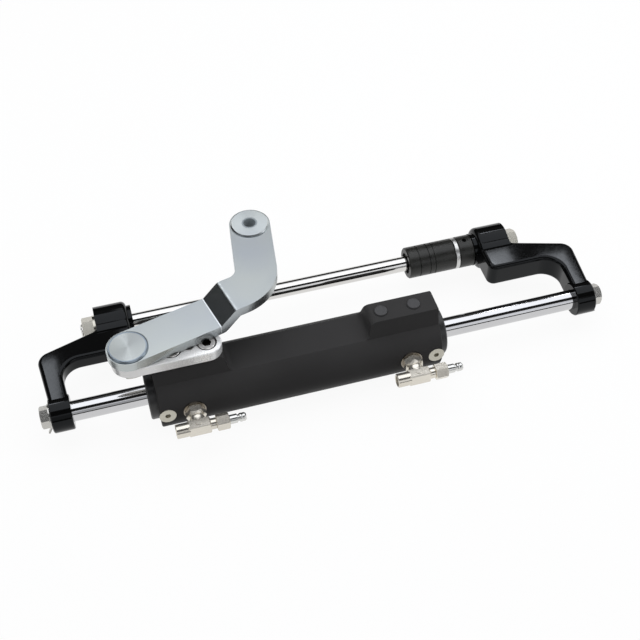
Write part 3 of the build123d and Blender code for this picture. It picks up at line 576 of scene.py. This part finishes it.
def hex_rows(flats, start, end, face, turn):
    """Rows of a hexagon between two heights, with both ends turned down to the radius face."""
    apothem = flats / 2
    cut_back = apothem / cos(HEX_STEP / 2) - face
    depth = cut_back * CHAMFER_SLOPE * (1 if end > start else -1)
    shares = [index / CHAMFER_ROWS for index in range(CHAMFER_ROWS + 1)]
    steps = [(share * depth, hex_cut(apothem, turn, face + share * cut_back)) for share in shares]
    first = [(start + inset, radius) for inset, radius in steps]
    last = [(end - inset, radius) for inset, radius in reversed(steps)]
    return first + last


def add_block(build, place):
    """Adds the square run of a tee along the local Z axis, with broken edges."""
    inner = RUN_HALF - RUN_EDGE
    rings = []
    for height, inset in ((-RUN_HALF, RUN_EDGE), (-inner, 0), (inner, 0), (RUN_HALF, RUN_EDGE)):
        x, y = RUN_DEPTH - inset, RUN_HEIGHT - inset
        low_x, low_y = x - RUN_EDGE, y - RUN_EDGE
        corners = ((x, -low_y), (x, low_y), (low_x, y), (-low_x, y),
                   (-x, low_y), (-x, -low_y), (-low_x, -y), (low_x, -y))
        rings.append([build.verts.new(place @ (Vector((*corner, height)) * MM)) for corner in corners])
    join_rings(build, rings)
    close_ends(build, rings)


def stand_in(build, body, node, slot, *finishes):
    """Turns a finished build into a piece that stands for a CAD node and moves with a body."""
    piece = object_from(build, f"{node}_turned", *finishes)
    piece.data.shade_smooth()
    piece.data.set_sharp_from_angle(angle=SMOOTH_ANGLE)
    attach(piece, body)
    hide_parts(node)


def run_place(side):
    """The frame of a tee's run: origin at the stub's axis, local X away from the body, Z along the run."""
    port = Vector(mounts[f"hose_port_{side}"]["pos_m"])
    rod = node_middle("piston_rod")
    outward = Vector((0, port.y - rod.y, port.z - rod.z)).normalized()
    along = Vector((1, 0, 0))
    origin = (node_middle(f"port_seal_{side}").x, port.y, port.z)
    return placed(origin, outward, along.cross(outward), along)


def make_tee(side, place, turn, satin, polished):
    """A tee in one piece: stub, hexagon, neck, square run with a pad on each side, port and spigot."""
    to_body = place @ Matrix.Rotation(-RIGHT_ANGLE, 4, "Y")
    hexagon = hex_rows(HEX_FLATS, HEX_FOOT, HEX_TOP, HEX_FACE, turn)
    build = bmesh.new()
    add_turned(build, to_body, (*STUB, *hexagon, *NECK))
    add_block(build, place)
    for angle in (-RIGHT_ANGLE, RIGHT_ANGLE):
        add_turned(build, place @ Matrix.Rotation(angle, 4, "X"), PAD)
    add_turned(build, place, PORT_END, finish=1)
    add_turned(build, place, SPIGOT, finish=1, hollow=True)
    stand_in(build, "cylinder", f"tee_{side}", "fitting_nickel", satin, polished)


def make_bleeder(side, place, turn, satin, bright):
    """The hexagon collar on a tee's spigot, and the bleed nipple that turns in it."""
    hexagon = hex_rows(COLLAR_FLATS, COLLAR_START, COLLAR_END, COLLAR_FACE, turn)
    build = bmesh.new()
    add_turned(build, place, (*hexagon, *COLLAR_BORE), hollow=True)
    stand_in(build, "cylinder", f"bleeder_collar_{side}", "fitting_nickel", satin)
    build = bmesh.new()
    add_turned(build, place, NIPPLE, hollow=True)
    stand_in(build, f"bleeder_{side}", f"bleed_nipple_{side}", "nipple_nickel", bright)


def make_fittings(finishes):
    """The tees, collars and bleed nipples, with their hexagons turned as in the photo."""
    for side, (tee_turn, collar_turn) in HEX_TURNS.items():
        place = run_place(side)
        make_tee(side, place, tee_turn, finishes["fitting_satin"], finishes["fitting_nickel"])
        make_bleeder(side, place, collar_turn, finishes["fitting_satin"], finishes["nipple_nickel"])


def make_world():
    """White where the camera sees it, darker overhead for gloss, and plain light for the rest."""
    world = bpy.data.worlds.new("studio")
    world.use_nodes = True
    bpy.context.scene.world = world
    calls = Nodes(world.node_tree)
    from_camera, mirrored = calls.ray_kinds()
    direction = calls.add("ShaderNodeTexCoord").outputs["Generated"]
    height = calls.add("ShaderNodeSeparateXYZ", direction).outputs["Z"]
    fade = calls.map_range(height, HORIZON, (1.0, WORLD_ABOVE), interpolation_type="SMOOTHSTEP")
    gloss = calls.math("MULTIPLY", mirrored, calls.math("SUBTRACT", fade, WORLD_LIGHT))
    seen = calls.math("MULTIPLY", from_camera, 1 - WORLD_LIGHT)
    strength = calls.math("ADD", calls.math("ADD", gloss, seen), WORLD_LIGHT)
    background = world.node_tree.nodes["Background"]
    background.inputs["Color"].default_value = WHITE
    calls.put(background.inputs["Strength"], strength)


def sheet(name, width, length, height=0):
    """A flat rectangle across the local Z axis."""
    corners = [(x * width / 2, y * length / 2, height) for x, y in ((-1, -1), (1, -1), (1, 1), (-1, 1))]
    mesh = bpy.data.meshes.new(name)
    mesh.from_pydata(corners, [], [(0, 1, 2, 3)])
    return linked(name, mesh)


def make_floor():
    """White floor under the lowest piece, which keeps a soft shadow."""
    floor = sheet("floor", FLOOR_SIZE, FLOOR_SIZE, cad_low.z)
    material, calls, shader = new_material("floor_white")
    from_camera, mirrored = calls.ray_kinds()
    calls.put(shader.inputs["Base Color"], calls.blend("RGBA", from_camera, FLOOR_BOUNCE, FLOOR_WHITE))
    shader.inputs["Roughness"].default_value = 1.0
    glow = calls.add("ShaderNodeEmission", WHITE)
    seen = calls.math("MAXIMUM", from_camera, mirrored)
    share = calls.math("MULTIPLY", seen, FLOOR_GLOW)
    mixed = calls.add("ShaderNodeMixShader", share, shader.outputs[0], glow.outputs[0])
    calls.put(material.node_tree.nodes["Material Output"].inputs["Surface"], mixed.outputs[0])
    floor.data.materials.append(material)


def aimed(place, target):
    """The matrix of a lamp or card at a place that faces a target, with its local X along the rods."""
    back = (Vector(place) - Vector(target)).normalized()
    side = Vector((1, 0, 0))
    side = (side - back * side.dot(back)).normalized()
    return placed(place, side, back.cross(side), back)


def softbox(name, place, target, width, height, brightness):
    """A rectangular lamp whose face has the given brightness, 1 being white."""
    data = bpy.data.lights.new(name, "AREA")
    data.shape = "RECTANGLE"
    data.size = width
    data.size_y = height
    data.energy = brightness * pi * width * height
    data.color = LAMP_COLOUR
    lamp = linked(name, data)
    lamp.matrix_world = aimed(place, target)
    lamp.visible_camera = False


def dark_card(name, place, target, width, height):
    """A black card that only gloss sees, for the dark streaks in chrome."""
    card = sheet(name, width, height)
    card.matrix_world = aimed(place, target)
    material, _, shader = new_material(name)
    shader.inputs["Base Color"].default_value = CARD_BLACK
    shader.inputs["Roughness"].default_value = 1.0
    card.data.materials.append(material)
    card.visible_camera = False
    card.visible_diffuse = False
    card.visible_shadow = False


def make_studio():
    """Floor, surroundings, lamps above and round the part, and cards for the dark streaks."""
    make_world()
    make_floor()
    for name, (x_from, x_to, y_from, y_to, brightness) in PANELS.items():
        x, y = (x_from + x_to) / 2, (y_from + y_to) / 2
        softbox(name, (x, y, PANEL_HEIGHT), (x, y, 0), x_to - x_from, y_to - y_from, brightness)
    for name, (place, width, height, brightness) in SOFTBOXES.items():
        softbox(name, place, LIT_MIDDLE, width, height, brightness)
    for name, (place, target, width, height) in CARDS.items():
        dark_card(name, place, target, width, height)


def main():
    """Builds the camera, the looks, the details and the studio."""
    make_camera()
    finishes = make_finishes()
    dress_nodes(finishes)
    make_threads(finishes)
    make_fittings(finishes)
    make_studio()
    bpy.context.scene.view_settings.view_transform = "Standard"


main()
